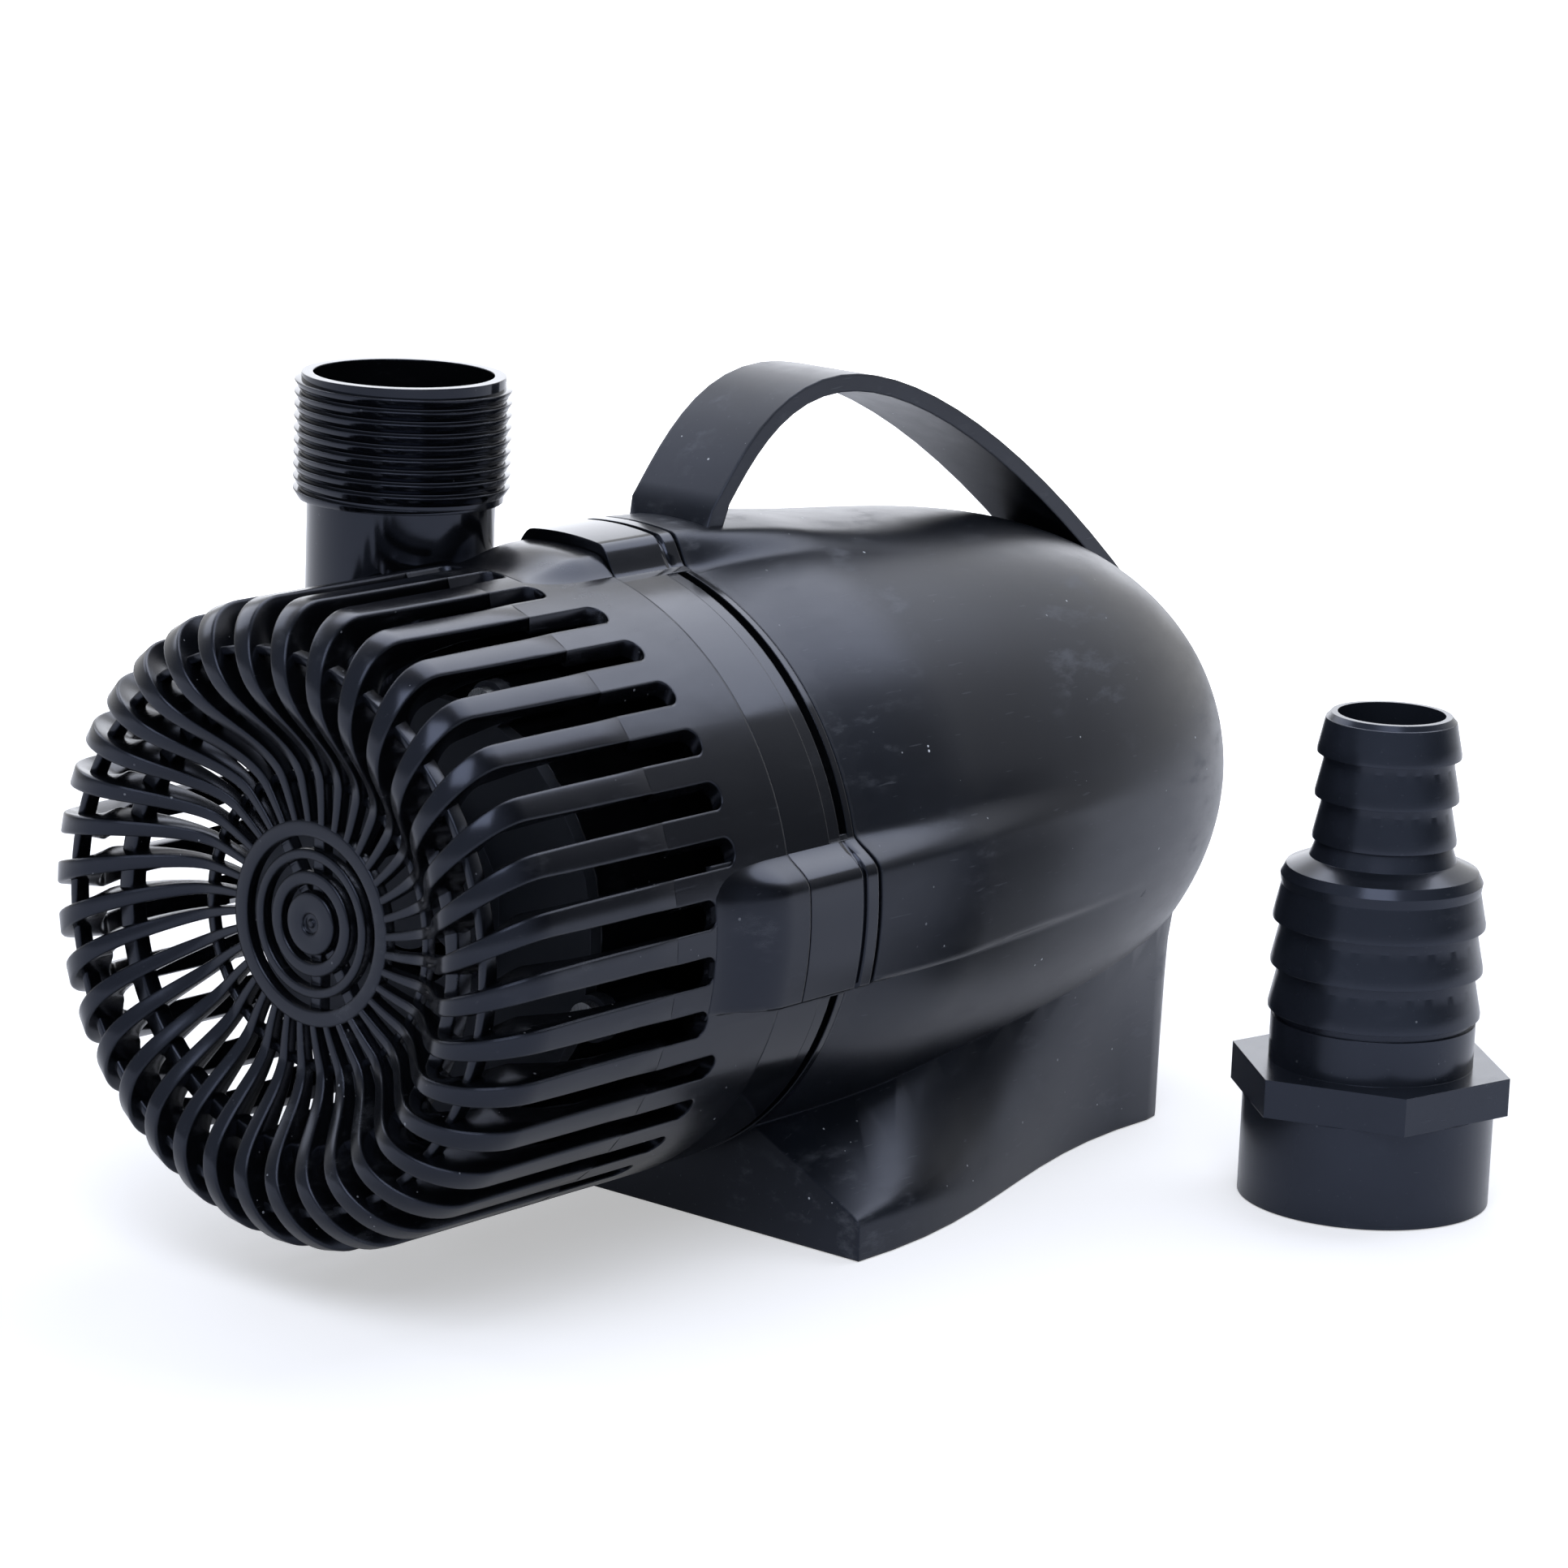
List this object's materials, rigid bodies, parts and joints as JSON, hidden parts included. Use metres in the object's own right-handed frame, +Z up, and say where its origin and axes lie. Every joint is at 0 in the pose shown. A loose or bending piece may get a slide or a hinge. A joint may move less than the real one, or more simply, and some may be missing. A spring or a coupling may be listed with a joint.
{
  "type": "submersible fountain pump",
  "caption": "Wet-rotor submersible fountain pump with swirl-ribbed intake cage, threaded outlet, carrying strap, flared pedestal and loose stepped hose adapter.",
  "frame": {"origin": "on the floor, in the pump's middle plane, at the front edge of the pedestal", "axes": "+Z up, +Y along the pump axis from the intake towards the tail, +X to the side the hose adapter stands on"},
  "size_m": [0.2011, 0.2713, 0.163],
  "materials": {
    "cage_plastic": "satin",
    "casing_plastic": "gloss",
    "housing_plastic": "satin",
    "adapter_plastic": "satin",
    "rotor_plastic": "satin",
    "sleeve_plastic": "satin",
    "seal_rubber": "matte",
    "screw_steel": "brushed",
    "ceramic": "satin",
    "ferrite": "matte",
    "core_iron": "matte",
    "winding": "gloss",
    "resin": "satin"
  },
  "bodies": {
    "pump": {"pump_casing": "casing_plastic", "casing_cover": "casing_plastic", "cover_seal": "seal_rubber", "cover_screws": "screw_steel", "shaft": "ceramic", "front_shaft_cup": "seal_rubber", "rear_shaft_cup": "seal_rubber", "rotor_can": "rotor_plastic", "can_seal": "seal_rubber", "rim_gasket": "seal_rubber", "casing_screws": "screw_steel", "motor_housing": "housing_plastic", "stator_core": "core_iron", "coil_bobbins": "sleeve_plastic", "stator_coils": "winding", "thermal_cutout": "sleeve_plastic", "potting_resin": "resin", "cable_gland": "housing_plastic", "gland_nut": "housing_plastic", "gland_seal": "seal_rubber"},
    "rotor": {"impeller": "rotor_plastic", "rotor_sleeve": "sleeve_plastic", "rotor_magnet": "ferrite", "front_bush": "ceramic", "rear_bush": "ceramic"},
    "cage": {"intake_cage": "cage_plastic"},
    "adapter": {"hose_adapter": "adapter_plastic", "adapter_washer": "seal_rubber"}
  },
  "joints": [
    {"name": "rotor_spin", "type": "hinge", "parent": "pump", "child": "rotor", "pos_m": [0, 0, 0.0697], "axis": [0, 1, 0], "continuous": true},
    {"name": "cage_release", "type": "slide", "parent": "pump", "child": "cage", "axis": [0, -1, 0], "range_m": [0, 0.09]},
    {"name": "adapter_lift", "type": "slide", "parent": "pump", "child": "adapter", "axis": [0, 0, 1], "range_m": [0, 0.1]}
  ]
}
